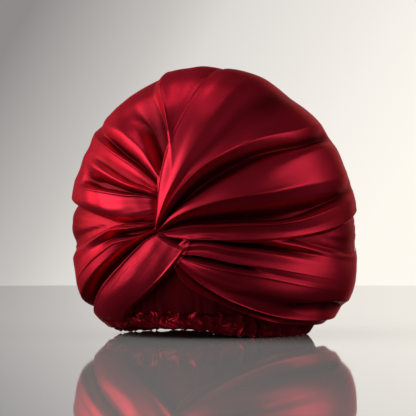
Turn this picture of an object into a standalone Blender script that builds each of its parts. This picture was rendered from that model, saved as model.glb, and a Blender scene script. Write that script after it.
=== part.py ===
"""Sleep bonnet: a satin turban bonnet with a twisted front, standing on its elastic hem.

Six pieces. The crown is the whole cap that the head goes into, and the elastic hem is the
bunched casing round its mouth. Two drapes of the same satin cross over each other in a twist
at the front, so four arms of cloth fan out from it and run back to a seam behind the ears:
upper left, upper right, lower left and lower right. The upper right and lower left arms lie
on top.

Everything but the hem is a surface seen from one point, the middle of the dome: a direction
and a distance. Each drape is a fan of named fold lines, high on a crest and low in a valley,
and lies on whatever is under it. Metres, +Z up, the front faces -Y.
"""
import bmesh
import bpy
import numpy as np
from mathutils import Vector
from mathutils.bvhtree import BVHTree

# The dome, measured from its middle to the envelope that the folds rise and fall from
HALF_WIDTH = 0.130
HALF_DEPTH = 0.134
RISE = 0.141
DROP = 0.103
UPPER_ROUNDNESS = 1.95      # exponent of the upper half: 2 is an ellipsoid
LOWER_ROUNDNESS = 3.6       # exponent of the lower half: fuller, then turning in sharply
DOME_X = -0.001
DOME_Y = 0.0054
LEAN = -0.035               # sideways lean of the standing bonnet, metres across per metre up

# Cloth
CLOTH = 0.0018              # wall of the crown and of the drapes
GAP = 0.0005                # air between pieces that lie on each other
FOLD = 0.010                # height that a fold line's lift of 1 stands for
STEEPEST = 0.55             # least cosine that thickens a wall on a slope

# Crown
RECESS = 0.0135             # depth of the crown under the drapes
PUFF = 0.0095               # how far the crown puffs out between the arms at each side
CROWN_FOLD = 0.0035         # depth of the soft folds that rise from the hem at the back
CROWN_FOLDS = 16
CROWN_FOLD_TOP = 10.0       # elevation at which those folds begin, in degrees
CROWN_FOLD_RUN = 45.0       # degrees below it over which they deepen
CROWN_FOLD_EDGE = 20.0      # degrees behind the seam over which they deepen
CROWN_BLEND = 15.0          # degrees above the rim over which the crown draws in to the hem
SEAM = 116.0                # degrees from the front at which the drapes are sewn to the crown

# Hem
HEM_HALF_WIDTH = 0.0860     # middle of the bunched casing, at its foot
HEM_HALF_DEPTH = 0.0900
HEM_X = -0.0066
HEM_Y = -0.0040
HEM_HEIGHT = 0.0250
HEM_FLARE = 0.0100          # how much wider the casing is at its top
HEM_PADDING = 0.0056        # thickness of the bunched casing
HEM_LIFT = 0.0085           # how far the front of the hem arches clear of the surface
GATHER = 0.0022             # depth of a gather
GATHERS = 40
GATHER_STEPS = 4

# Share of the recess that is left, by degrees from the front
RECESS_TABLE = np.array([
    # angle, share
    (0.0, 1.00),
    (78.0, 1.00),
    (98.0, 0.50),
    (116.0, 0.24),
    (130.0, 0.00),
    (180.0, 0.00),
])

# Where the crown puffs out between the arms
PUFFS = [
    # name, azimuth, elevation, width across and along in degrees
    ("left puff", -74.0, 0.0, 30.0, 17.0),
    ("right puff", 98.0, -6.0, 26.0, 12.0),
]

# The casing's section: place across as a share of its padding, height as a share of its
# height, and how much of the gather's wave it takes
HEM_SECTION = [
    # name, across, height, wave
    ("top inside", -0.50, 1.00, 0.0),
    ("top outside", 0.50, 1.00, 0.2),
    ("bulge", 0.90, 0.62, 1.0),
    ("low bulge", 0.85, 0.24, 1.0),
    ("foot outside", 0.35, 0.00, 0.5),
    ("foot inside", -0.45, 0.00, -0.3),
    ("inside", -0.60, 0.50, -0.6),
]

# How far the foot of the hem arches up, by azimuth, as a share of its lift
ARCH_TABLE = np.array([
    # azimuth, share
    (-180.0, 0.00),
    (-94.0, 0.00),
    (-76.0, 0.50),
    (-58.0, 1.00),
    (-15.0, 1.00),
    (16.0, 0.80),
    (34.0, 0.35),
    (48.0, 0.00),
    (180.0, 0.00),
])

# Each drape is a fan of fold lines about its apex. A row gives a line's bearing in degrees at
# the five stations, counted from the wearer's left side of the front (+X) through the top,
# and its lift at each, as a share of FOLD. A lift of -2 lies down on whatever is under it.
# "nearest" is the arc at which a fan begins, and "lowest" the elevation at which it is caught
# in above the hem, both in degrees.
LIES_DOWN = -2.0
DRAPES = {
    "lower_right_drape": {
        "apex": (6.6, -11.3),
        "stations": (8.0, 25.0, 50.0, 80.0, 104.0),
        "rows": 13,
        "nearest": 4.0,
        "lowest": -42.0,
        "over": ("crown", "elastic_hem"),
        "lines": [
            # name, five bearings, five lifts
            ("top edge", 45, 14, 1.5, -10, -16, -2, -2, -2, -2, -2),
            ("top rim", 37, 10, -1.5, -11.5, -17.5, 0.1, 0.1, 0.1, 0.1, 0.0),
            ("valley under the twist", 28, 5, -5, -13, -19, -0.5, -0.8, -0.5, -0.1, 0.0),
            ("first crest", 22, 1, -9, -15.5, -21, 0.3, 0.4, 0.3, 0.2, 0.1),
            ("first dip", 9, -4, -12, -17.5, -23, -0.2, -0.1, 0.0, 0.1, 0.0),
            ("hook crest", -1, -10.5, -14.5, -20, -25.5, 0.3, 0.3, 0.2, 0.2, 0.1),
            ("hook pocket", -10, -14, -17, -22, -28, -0.3, -0.8, 0.0, 0.2, 0.1),
            ("hook lip", -19, -17.5, -19.5, -24, -30, 0.2, 0.3, 0.4, 0.3, 0.1),
            ("broad belly", -36, -31, -24, -28, -34, 0.3, 0.5, 0.6, 0.5, 0.2),
            ("low pocket", -40.5, -37, -29, -35, -38.5, 0.1, 0.0, -0.3, -0.8, -0.1),
            ("low crest", -45, -41, -38, -38, -42, 0.4, 0.5, 0.4, 0.3, 0.1),
            ("low valley", -55, -46, -39.5, -39.5, -44.5, -0.1, -0.3, -0.2, 0.0, 0.0),
            ("bottom rim", -70, -49.5, -41, -41, -47, 0.2, 0.2, 0.2, 0.2, 0.1),
            ("bottom edge", -79, -52, -43, -43, -49, -2, -2, -2, -2, -2),
        ],
    },
    "lower_left_drape": {
        "apex": (16.6, 12.9),
        "stations": (22.0, 30.0, 42.0, 60.0, 120.0),
        "rows": 13,
        "nearest": 19.0,
        "lowest": -37.5,
        "over": ("crown", "elastic_hem", "lower_right_drape"),
        "lines": [
            ("right edge", -106, -112.5, -118.5, -125.5, -127, -2, -2, -2, -2, -2),
            ("right rim", -109, -115, -121, -127.5, -129, 0.2, 0.3, 0.3, 0.3, 0.2),
            ("band", -126, -128, -131, -134.5, -135.5, 0.6, 0.6, 0.6, 0.5, 0.2),
            ("crisp crease", -134, -139.5, -140, -141, -141, 0.6, 0.6, 0.6, 0.4, 0.1),
            ("curved valley", -136, -141.5, -143, -144.5, -143.5, 0.0, -0.5, -0.9, -1.0, -0.2),
            ("lit strip", -138, -143.5, -148.5, -149, -147.5, 0.2, 0.3, 0.4, 0.4, 0.1),
            ("pocket lip", -140, -145.5, -152.5, -153.5, -153, 0.2, 0.3, 0.3, 0.3, 0.1),
            ("almond pocket", -142, -149, -156.5, -158, -160, -0.3, -1.0, -0.1, 0.2, 0.1),
            ("pocket top", -144.5, -153.5, -160.5, -161.5, -168, 0.2, 0.4, 0.3, 0.3, 0.1),
            ("top edge", -147, -156.5, -163.5, -165, -175, -2, -2, -2, -2, -2),
        ],
    },
    "upper_left_drape": {
        "apex": (7.2, 7.2),
        "stations": (10.0, 22.0, 38.0, 58.0, 118.0),
        "rows": 14,
        "nearest": 5.0,
        "lowest": -42.0,
        "over": ("crown", "elastic_hem", "lower_right_drape", "lower_left_drape"),
        "lines": [
            ("covered edge", 86, 82, 76, 69, 72, -2, -2, -2, -2, -2),
            ("flank", 91, 90, 89, 87, 88, -0.1, 0.0, 0.1, 0.2, 0.1),
            ("first crease", 95, 96.5, 100.5, 104.5, 104, 0.1, 0.3, 0.5, 0.5, 0.2),
            ("first valley", 102, 103, 105.5, 110, 110, -0.3, -0.5, -0.3, 0.0, 0.0),
            ("second ridge", 121, 120.5, 125.5, 131, 126, 0.2, 0.4, 0.5, 0.4, 0.1),
            ("second valley", 131, 134.5, 138, 136.5, 131, -0.2, -0.4, -0.6, -0.5, 0.0),
            ("second crest", 135, 139, 142.5, 143.5, 137, 0.2, 0.3, 0.4, 0.4, 0.1),
            ("third dip", 146, 152, 151, 149.5, 142, -0.1, -0.2, -0.2, -0.1, 0.0),
            ("third ridge", 154, 158, 156.5, 155, 147, 0.2, 0.3, 0.3, 0.3, 0.1),
            ("third valley", 159.5, 165, 165, 162.5, 152, -0.2, -0.6, -0.5, -0.2, 0.0),
            ("fourth crest", 164.5, 169.5, 169, 167, 155.5, 0.2, 0.5, 0.5, 0.3, 0.1),
            ("broad cheek", 188, 184, 177, 172, 160, 0.3, 0.4, 0.5, 0.4, 0.2),
            ("bottom rim", 214, 197, 182.5, 175, 163.5, 0.1, 0.2, 0.2, 0.2, 0.1),
            ("bottom edge", 220, 200.5, 185, 177, 165.5, -2, -2, -2, -2, -2),
        ],
    },
    "upper_right_drape": {
        "apex": (-1.1, -3.9),
        "stations": (8.0, 25.0, 50.0, 80.0, 116.0),
        "rows": 15,
        "nearest": 3.0,
        "lowest": -42.0,
        "over": (
            "crown", "elastic_hem", "lower_right_drape", "lower_left_drape", "upper_left_drape",
        ),
        "lines": [
            ("left edge", 87, 86.5, 84, 83.5, 84, -2, -2, -2, -2, -2),
            ("left crest", 81, 83, 80.5, 80, 80, 0.4, 0.5, 0.5, 0.3, 0.2),
            ("first valley", 71, 68.5, 73, 73, 74, 0.0, 0.0, 0.1, 0.1, 0.0),
            ("first ridge", 67, 63, 67, 69, 69, 0.2, 0.2, 0.2, 0.2, 0.1),
            ("second valley", 64.5, 60, 56, 57, 58, 0.0, -0.1, -0.1, 0.0, 0.0),
            ("second ridge", 61.5, 56.5, 46.5, 40, 43, 0.3, 0.4, 0.4, 0.3, 0.1),
            ("third valley", 56, 47, 40, 35, 37, -0.3, -0.9, -0.5, -0.2, 0.0),
            ("third ridge", 47, 33.5, 30, 30, 30, 0.3, 0.4, 0.3, 0.3, 0.1),
            ("fifth crest", 40, 27.5, 19.5, 18, 21, 0.4, 0.4, 0.4, 0.3, 0.1),
            ("fifth valley", 25, 13, 6.5, 10, 14, -0.2, -0.8, -1.0, -0.4, 0.0),
            ("sixth crest", 16, 6.5, 3, 7, 10.5, 0.3, 0.3, 0.2, 0.2, 0.1),
            ("lower band", 4, 0.5, -1, 2.5, 7.5, 0.2, 0.2, 0.2, 0.2, 0.1),
            ("bottom rim", -8.5, -5.5, -3.5, -0.5, 5, 0.1, 0.1, 0.1, 0.1, 0.1),
            ("bottom edge", -11, -7.5, -5.5, -2.5, 3, -2, -2, -2, -2, -2),
        ],
    },
}
STEPS_PER_FOLD = 2            # mesh columns from one fold line to the next
END_ROUNDS = 6                # rounds in which a fold line's end is found
ROW_CROWDING = 1.15           # above 1, mesh rows crowd towards the twist
PROBES = 24                   # steps along a face's edge at which the layer below is felt for
SETTLING_ROUNDS = 12
SETTLED = 0.1                 # share of the gap that a face may still lack
CROWN_COLUMNS = 60
CROWN_ROWS = 15
ONE_WAY = (0, 1, 2, 0, 2, 3)  # corners of a face's two triangles, split along one diagonal
OTHER_WAY = (0, 1, 3, 1, 2, 3)

# Looks
SATIN = (0.36, 0.006, 0.022, 1.0)
SATIN_SHADE = (0.26, 0.004, 0.016, 1.0)
SATIN_ROUGHNESS = 0.34
SHARP_FOLD = 40.0             # degrees at which an edge is shown sharp
SHARP_HEM = 60.0
COLLECTION = "sleep_bonnet"

DOME = np.array([DOME_X, DOME_Y, DROP])


def unit(azimuth, elevation):
    """Unit vectors at an azimuth from the front, positive towards +X, and an elevation."""
    azimuth, elevation = np.radians(azimuth), np.radians(elevation)
    flat = np.cos(elevation)
    return np.stack([np.sin(azimuth) * flat, -np.cos(azimuth) * flat, np.sin(elevation)], axis=-1)


def envelope(direction):
    """Distance from the middle of the dome to the envelope: a superellipsoid in two halves."""
    plan = np.hypot(direction[..., 0] / HALF_WIDTH, direction[..., 1] / HALF_DEPTH)
    height = direction[..., 2]
    above = (plan ** UPPER_ROUNDNESS + np.abs(height / RISE) ** UPPER_ROUNDNESS)
    below = (plan ** LOWER_ROUNDNESS + np.abs(height / DROP) ** LOWER_ROUNDNESS)
    return np.where(
        height >= 0, above ** (-1 / UPPER_ROUNDNESS), below ** (-1 / LOWER_ROUNDNESS)
    )


def smooth(value):
    """Rise from 0 to 1 with level ends."""
    value = np.clip(value, 0.0, 1.0)
    return value * value * (3 - 2 * value)


def slopes(x, y):
    """Slopes of a curve through the points that never overshoots them, by harmonic means."""
    step = np.diff(x, axis=0)
    rise = np.diff(y, axis=0) / step
    inner = np.zeros_like(rise[1:])
    same = rise[1:] * rise[:-1] > 0
    first = 2 * step[1:] + step[:-1]
    second = step[1:] + 2 * step[:-1]
    inner[same] = ((first + second)[same]
                   / (first[same] / rise[:-1][same] + second[same] / rise[1:][same]))
    return np.concatenate([rise[:1], inner, rise[-1:]])


def curve(x, y, at):
    """Cubic through the points (x, y), level at its peaks and valleys, read at `at`."""
    x, y, at = np.asarray(x, float), np.asarray(y, float), np.asarray(at, float)
    slope = slopes(x, y)
    place = np.clip(np.searchsorted(x, at, side="right") - 1, 0, len(x) - 2)
    width = x[place + 1] - x[place]
    t = np.clip((at - x[place]) / width, 0.0, 1.0)
    return ((1 + 2 * t) * (1 - t) ** 2 * y[place] + t * (1 - t) ** 2 * width * slope[place]
            + t * t * (3 - 2 * t) * y[place + 1] - t * t * (1 - t) * width * slope[place + 1])


def crown_lift(direction):
    """Distance of the crown from the envelope: sunk under the drapes, puffed out between."""
    from_front = np.degrees(np.arccos(np.clip(-direction[..., 1], -1, 1)))
    lift = -RECESS * curve(RECESS_TABLE[:, 0], RECESS_TABLE[:, 1], from_front)
    azimuth = np.degrees(np.arctan2(direction[..., 0], -direction[..., 1]))
    elevation = np.degrees(np.arcsin(np.clip(direction[..., 2], -1, 1)))
    for _, puff_azimuth, puff_elevation, across, along in PUFFS:
        away = ((azimuth - puff_azimuth) / across) ** 2 + ((elevation - puff_elevation) / along) ** 2
        lift = lift + PUFF * np.exp(-away) * np.clip(-lift / RECESS, 0.0, 1.0)
    return lift


def hem_ring(angle, across, height):
    """Points of the hem at an angle round it, from the front towards +X."""
    half_width = HEM_HALF_WIDTH + HEM_FLARE * height / HEM_HEIGHT + across
    half_depth = HEM_HALF_DEPTH + HEM_FLARE * height / HEM_HEIGHT + across
    return np.stack([
        DOME_X + HEM_X + half_width * np.sin(angle),
        DOME_Y + HEM_Y - half_depth * np.cos(angle),
        height + 0 * angle,
    ], axis=-1)


def material(name, colour):
    """Satin in one colour."""
    made = bpy.data.materials.new(name)
    made.use_nodes = True
    shader = made.node_tree.nodes["Principled BSDF"]
    shader.inputs["Base Color"].default_value = colour
    shader.inputs["Roughness"].default_value = SATIN_ROUGHNESS
    shader.inputs["Metallic"].default_value = 0.0
    made.diffuse_color = colour
    return made


def sheet_mesh(columns, rows):
    """Flat grid of quads in a bmesh, and each vertex's place across and along, from 0 to 1."""
    grid = bmesh.new()
    bmesh.ops.create_grid(grid, x_segments=columns, y_segments=rows, size=0.5)
    grid.verts.ensure_lookup_table()
    place = np.array([vertex.co[:2] for vertex in grid.verts]) + 0.5
    across = np.rint(place[:, 0] * columns).astype(int)
    along = np.rint(place[:, 1] * rows).astype(int)
    return grid, across, along


def finish(grid, name, colour, sharp=SHARP_FOLD):
    """Lean the mesh with the dome and make it an object of its own, facing outwards."""
    for vertex in grid.verts:
        vertex.co.x += LEAN * (vertex.co.z - DOME[2])
    bmesh.ops.remove_doubles(grid, verts=grid.verts, dist=1e-6)
    bmesh.ops.recalc_face_normals(grid, faces=grid.faces)
    mesh = bpy.data.meshes.new(name)
    grid.to_mesh(mesh)
    grid.free()
    mesh.shade_smooth()
    mesh.set_sharp_from_angle(angle=np.radians(sharp))
    mesh.materials.append(material(name + "_satin", colour))
    collection.objects.link(bpy.data.objects.new(name, mesh))


def shell(name, outer, inner, colour):
    """Closed wall between two grids of points: a sheet on the outer one, extruded inwards."""
    columns, rows = outer.shape[0] - 1, outer.shape[1] - 1
    grid, across, along = sheet_mesh(columns, rows)
    spot = grid.verts.layers.int.new("spot")
    for vertex, i, j in zip(list(grid.verts), across, along):
        vertex.co = outer[i, j]
        vertex[spot] = int(i * (rows + 1) + j)
    extruded = bmesh.ops.extrude_face_region(grid, geom=grid.faces[:], use_keep_orig=True)
    for vertex in [item for item in extruded["geom"] if isinstance(item, bmesh.types.BMVert)]:
        vertex.co = inner[divmod(vertex[spot], rows + 1)]
    grid.verts.layers.int.remove(spot)
    finish(grid, name, colour)


def search_tree(grids, split):
    """Search tree of grids of points about the dome's middle, their faces split in threes."""
    vertices, triangles = [], []
    for points in grids:
        columns, rows = points.shape[:2]
        index = np.arange(columns * rows).reshape(columns, rows) + len(vertices)
        corners = np.stack([index[:-1, :-1], index[1:, :-1], index[1:, 1:], index[:-1, 1:]], axis=-1)
        triangles += corners[..., split].reshape(-1, 3).tolist()
        vertices += [Vector(point) for point in (points - DOME).reshape(-1, 3)]
    return BVHTree.FromPolygons(vertices, triangles, all_triangles=True, epsilon=0.0)


def reach(direction, tree):
    """Farthest distance at which each ray from the dome's middle meets a tree, and where."""
    start = 2 * max(RISE, HALF_WIDTH, HALF_DEPTH)
    flat = direction.reshape(-1, 3)
    hits = [tree.ray_cast(Vector(start * ray), Vector(-ray), start) for ray in flat]
    distance = np.array([0.0 if hit[3] is None else start - hit[3] for hit in hits])
    triangle = np.array([-1 if hit[2] is None else hit[2] for hit in hits])
    return distance.reshape(direction.shape[:-1]), triangle


def edge_weights():
    """Corner weights of places along the four sides and both diagonals of a face."""
    share = np.linspace(0, 1, PROBES + 1)
    weights = []
    for first, second in ((0, 1), (1, 2), (2, 3), (3, 0), (0, 2), (1, 3)):
        weight = np.zeros((4, len(share)))
        weight[first], weight[second] = 1 - share, share
        weights.append(weight)
    return np.concatenate(weights, axis=1)


def settle(direction, below):
    """Least distance at which a grid's flat faces clear the grids of points that lie below.

    Each face is felt along its edges, and over each corner of the layers below that lies
    under it. The corners of a face that is too low are raised by what it lacks, a few times
    over.
    """
    weights = edge_weights()
    tree = search_tree(below, ONE_WAY + OTHER_WAY)
    peaks = np.concatenate([(points - DOME).reshape(-1, 3) for points in below])
    peak_distance = np.linalg.norm(peaks, axis=-1)
    peaks = peaks / peak_distance[:, None]
    floor = reach(direction, tree)[0] + GAP
    for _ in range(SETTLING_ROUNDS):
        points = direction * floor[..., None]
        corners = np.stack([points[:-1, :-1], points[1:, :-1], points[1:, 1:], points[:-1, 1:]])
        felt = np.einsum("ks,kijc->sijc", weights, corners)
        distance = np.linalg.norm(felt, axis=-1)
        lacking = (reach(felt / distance[..., None], tree)[0] + GAP - distance).max(axis=0)
        for split in (ONE_WAY, OTHER_WAY):
            over_peak, triangle = reach(peaks, search_tree([DOME + points], split))
            hit = triangle >= 0
            missing = (peak_distance + GAP - over_peak)[hit]
            np.maximum.at(lacking.ravel(), triangle[hit] // 2, missing)
        if lacking.max() < SETTLED * GAP:
            break
        lacking = np.pad(np.clip(lacking, 0.0, 2 * CLOTH), 1)
        floor += np.max(
            [lacking[1:, 1:], lacking[:-1, 1:], lacking[1:, :-1], lacking[:-1, :-1]], axis=0
        )
    return floor


def fan_frame(apex):
    """Pole, east and north unit vectors of a fan at its apex."""
    pole = unit(*apex)
    east = np.array([np.cos(np.radians(apex[0])), np.sin(np.radians(apex[0])), 0.0])
    return pole, east, np.cross(pole, east)


def fan_direction(apex, bearing, arc):
    """Unit vectors at a bearing round an apex and an arc away from it, in degrees."""
    pole, east, north = fan_frame(apex)
    bearing, arc = np.radians(bearing)[..., None], np.radians(arc)[..., None]
    return np.cos(arc) * pole + np.sin(arc) * (np.cos(bearing) * east + np.sin(bearing) * north)


def arc_until(axis_pole, axis_side, limit):
    """First arc, in degrees, at which pole*cos(arc) + side*sin(arc) crosses the limit."""
    size = np.hypot(axis_pole, axis_side)
    phase = np.degrees(np.arctan2(axis_side, axis_pole))
    swing = np.degrees(np.arccos(np.clip(limit / size, -1, 1)))
    first = np.stack([phase - swing, phase + swing]) % 360
    return np.where(np.abs(limit) < size, first.min(axis=0), 360.0)


def fan_end(apex, bearing, lowest):
    """Arc at which a bearing reaches the seam behind the ears, or a lowest elevation."""
    pole, east, north = fan_frame(apex)
    side = (np.cos(np.radians(bearing))[..., None] * east
            + np.sin(np.radians(bearing))[..., None] * north)
    to_seam = arc_until(pole[1], side[..., 1], -np.cos(np.radians(SEAM)))
    to_hem = arc_until(pole[2], side[..., 2], np.sin(np.radians(lowest)))
    return np.minimum(to_seam, to_hem)


def fold_lines(drape, columns, along):
    """Bearing, arc and lift over a fan's grid: cubic along each line, then across the lines."""
    table = np.array([line[1:] for line in drape["lines"]], dtype=float)
    stations = np.array(drape["stations"])
    count = len(stations)
    spot = np.linspace(0, len(table) - 1, columns + 1)
    order = np.arange(len(table))
    bearings = np.stack([curve(order, table[:, k], spot) for k in range(count)])
    lifts = np.stack([curve(order, table[:, count + k], spot) for k in range(count)])
    near = drape["nearest"]
    end = np.full(len(spot), stations[-1])
    for _ in range(END_ROUNDS):
        last = np.array([curve(stations, bearings[:, i], end[i]) for i in range(len(spot))])
        end = fan_end(drape["apex"], last, drape["lowest"])
    arc = near + (end - near)[:, None] * along[None, :]
    bearing = np.array([curve(stations, bearings[:, i], arc[i]) for i in range(len(spot))])
    lift = np.array([curve(stations, lifts[:, i], arc[i]) for i in range(len(spot))])
    return bearing, arc, lift


def build_crown():
    """Cap over the whole head, open at the hem, with soft folds rising at its back."""
    angle = np.linspace(0, 2 * np.pi, CROWN_COLUMNS + 1)
    rim = hem_ring(angle, 0.5 * CLOTH, HEM_HEIGHT + 0 * angle) + np.array([0, 0, GAP]) - DOME
    azimuth = np.degrees(np.unwrap(np.arctan2(rim[:, 0], -rim[:, 1])))
    lowest = np.degrees(np.arctan2(rim[:, 2], np.hypot(rim[:, 0], rim[:, 1])))
    share = np.linspace(0, 1, CROWN_ROWS + 1)
    elevation = 90 + (lowest[:, None] - 90) * share[None, :]
    azimuth = np.broadcast_to(azimuth[:, None], elevation.shape)
    direction = unit(azimuth, elevation)
    distance = envelope(direction) + crown_lift(direction)
    from_front = np.degrees(np.arccos(np.clip(-direction[..., 1], -1, 1)))
    low = smooth((CROWN_FOLD_TOP - elevation) / CROWN_FOLD_RUN)
    behind = smooth((from_front - SEAM) / CROWN_FOLD_EDGE)
    distance -= CROWN_FOLD * low * behind * (0.5 - 0.5 * np.cos(CROWN_FOLDS * angle))[:, None]
    rim_distance = np.linalg.norm(rim, axis=1)[:, None]
    drawn = smooth((lowest[:, None] + CROWN_BLEND - elevation) / CROWN_BLEND)
    distance = distance + (rim_distance - distance) * drawn
    outer = DOME + direction * distance[..., None]
    inner = DOME + direction * (distance - CLOTH)[..., None]
    inner[:, -1] = outer[:, -1]
    inner[:, -1, :2] -= CLOTH * (outer[:, -1, :2] - DOME[:2]) / np.linalg.norm(
        outer[:, -1, :2] - DOME[:2], axis=1)[:, None]
    outer[-1], inner[-1] = outer[0], inner[0]
    outer[:, 0], inner[:, 0] = outer[0, 0], inner[0, 0]
    wall_round("crown", outer, inner, SATIN_SHADE)
    return outer


def wall_round(name, outer, inner, colour):
    """Closed wall between two grids that join up all the way round and meet at the top."""
    profile = np.concatenate([outer, inner[:, ::-1]], axis=1)
    columns, rows = profile.shape[0] - 1, profile.shape[1] - 1
    grid, across, along = sheet_mesh(columns, rows)
    for vertex, i, j in zip(list(grid.verts), across, along):
        vertex.co = profile[i, j]
    finish(grid, name, colour)


def build_hem():
    """Bunched casing round the mouth: a closed section carried round an oval, gathered."""
    angle = np.linspace(0, 2 * np.pi, GATHERS * GATHER_STEPS + 1)
    azimuth = np.degrees(np.arctan2(np.sin(angle), np.cos(angle)))
    arch = HEM_LIFT * curve(ARCH_TABLE[:, 0], ARCH_TABLE[:, 1], azimuth)
    wave = np.cos(GATHERS * angle)
    section = []
    foot = arch + GATHER * (0.5 - 0.5 * wave) * arch / HEM_LIFT
    for _, across, height, share in HEM_SECTION:
        level = foot + (HEM_HEIGHT - foot) * height
        section.append(hem_ring(angle, across * HEM_PADDING + share * GATHER * wave, level))
    points = np.stack(section + section[:1], axis=1)
    points[-1] = points[0]
    grid, around, along = sheet_mesh(points.shape[0] - 1, points.shape[1] - 1)
    for vertex, i, j in zip(list(grid.verts), around, along):
        vertex.co = points[i, j]
    finish(grid, "elastic_hem", SATIN_SHADE, sharp=SHARP_HEM)
    return points


def build_drape(name, surfaces):
    """Fan of folds laid over what is under it, with its edges and ends turned down."""
    drape = DRAPES[name]
    columns = STEPS_PER_FOLD * (len(drape["lines"]) - 1)
    rows = drape["rows"]
    along = np.linspace(0, 1, rows + 1) ** ROW_CROWDING
    bearing, arc, lift = fold_lines(drape, columns, along)
    lift[:, 0] = LIES_DOWN
    lift[:, -1] = LIES_DOWN
    direction = fan_direction(drape["apex"], bearing, arc)
    floor = settle(direction, [surfaces[under] for under in drape["over"]])
    distance = np.maximum(envelope(direction) + FOLD * lift, floor + CLOTH)
    outer = DOME + direction * distance[..., None]
    along_fan = np.gradient(outer, axis=1)
    across_fan = np.gradient(outer, axis=0)
    facing = np.cross(across_fan, along_fan)
    facing /= np.linalg.norm(facing, axis=-1, keepdims=True)
    tilt = np.clip(np.abs(np.sum(facing * direction, axis=-1)), STEEPEST, 1.0)
    inner = DOME + direction * np.maximum(distance - CLOTH / tilt, floor)[..., None]
    shell(name, outer, inner, SATIN)
    return outer


for leftover in list(bpy.data.objects):
    bpy.data.objects.remove(leftover, do_unlink=True)
collection = bpy.data.collections.new(COLLECTION)
bpy.context.scene.collection.children.link(collection)

laid = {"crown": build_crown(), "elastic_hem": build_hem()}
for drape_name in DRAPES:
    laid[drape_name] = build_drape(drape_name, laid)
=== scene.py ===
# %% [markdown]
# # A satin sleep bonnet with a twisted front
# The bonnet stands on its elastic hem. Four pleated arms of satin fan out from a twist at the
# front and lie over a plain satin cap. This lesson builds each arm as one surface: a fan of
# named fold lines, read with smooth curves, and laid over whatever is under it.

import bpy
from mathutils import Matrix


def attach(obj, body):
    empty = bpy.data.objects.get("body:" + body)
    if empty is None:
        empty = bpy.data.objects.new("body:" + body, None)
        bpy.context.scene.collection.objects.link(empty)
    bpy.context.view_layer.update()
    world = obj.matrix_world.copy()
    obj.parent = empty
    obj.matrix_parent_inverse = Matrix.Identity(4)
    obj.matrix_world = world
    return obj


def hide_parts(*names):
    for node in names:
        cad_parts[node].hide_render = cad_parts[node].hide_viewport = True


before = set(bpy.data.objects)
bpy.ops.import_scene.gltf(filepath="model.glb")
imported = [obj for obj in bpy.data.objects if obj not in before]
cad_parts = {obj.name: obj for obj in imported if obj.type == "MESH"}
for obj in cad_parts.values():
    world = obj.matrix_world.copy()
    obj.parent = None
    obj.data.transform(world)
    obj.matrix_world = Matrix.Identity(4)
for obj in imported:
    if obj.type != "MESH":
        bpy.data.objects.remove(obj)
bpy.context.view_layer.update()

import bpy
import numpy as np
from mathutils import Vector

# %% [markdown]
# ## The dome that everything lies on
# A filled bonnet is nearly a ball: rounder above, fuller below, and turned in to the hem. The
# same sizes are in the solid model. Every piece but the hem is seen from one point, the
# middle of the dome, as a direction and a distance, because a fold is then only a distance
# that rises and falls.

# %% The dome
HALF_WIDTH, HALF_DEPTH, RISE, DROP = 0.130, 0.134, 0.141, 0.103
UPPER_ROUNDNESS, LOWER_ROUNDNESS = 1.95, 3.6
# The dome's middle, and how far the bonnet leans sideways for each metre of height
DOME = np.array([-0.001, 0.0054, DROP])
LEAN = -0.035
# Where the arms are sewn in behind the ears, in degrees from the front
SEAM = 116.0


def unit(azimuth, elevation):
    """Unit vectors: azimuth in degrees from the front towards +X, elevation above level."""
    azimuth, elevation = np.radians(azimuth), np.radians(elevation)
    flat = np.cos(elevation)
    return np.stack([np.sin(azimuth) * flat, -np.cos(azimuth) * flat, np.sin(elevation)], -1)


def envelope(direction):
    """Distance to the dome: (plan to the power n + height to the power n) to the power -1/n."""
    plan = np.hypot(direction[..., 0] / HALF_WIDTH, direction[..., 1] / HALF_DEPTH)
    height = direction[..., 2]
    above = plan ** UPPER_ROUNDNESS + np.abs(height / RISE) ** UPPER_ROUNDNESS
    below = plan ** LOWER_ROUNDNESS + np.abs(height / DROP) ** LOWER_ROUNDNESS
    return np.where(height >= 0, above ** (-1 / UPPER_ROUNDNESS), below ** (-1 / LOWER_ROUNDNESS))


def smooth(value):
    """Rise from 0 to 1 with level ends: 3 v squared - 2 v cubed."""
    value = np.clip(value, 0.0, 1.0)
    return value * value * (3 - 2 * value)


def read_rows(x, y, at):
    """Read each row of y, known at x, at its own row of places, with a cubic.

    A slope is the harmonic mean of the rises on both sides, and level at a peak or a valley,
    so the curve never overshoots its points.
    """
    rise = np.diff(y, axis=1) / np.diff(x)
    product = rise[:, 1:] * rise[:, :-1]
    total = rise[:, 1:] + rise[:, :-1]
    inner = np.where(product > 0, 2 * product / np.where(total == 0, 1, total), 0.0)
    slope = np.concatenate([rise[:, :1], inner, rise[:, -1:]], axis=1)
    place = np.clip(np.searchsorted(x, at, side="right") - 1, 0, len(x) - 2)
    width = x[place + 1] - x[place]
    t = np.clip((at - x[place]) / width, 0.0, 1.0)
    low, high = np.take_along_axis(y, place, 1), np.take_along_axis(y, place + 1, 1)
    start, end = np.take_along_axis(slope, place, 1), np.take_along_axis(slope, place + 1, 1)
    return ((1 + 2 * t) * (1 - t) ** 2 * low + t * (1 - t) ** 2 * width * start
            + t * t * (3 - 2 * t) * high - t * t * (1 - t) * width * end)


print("the dome at the front is", round(float(envelope(unit(0.0, 0.0))), 4), "m from its middle")


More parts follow.
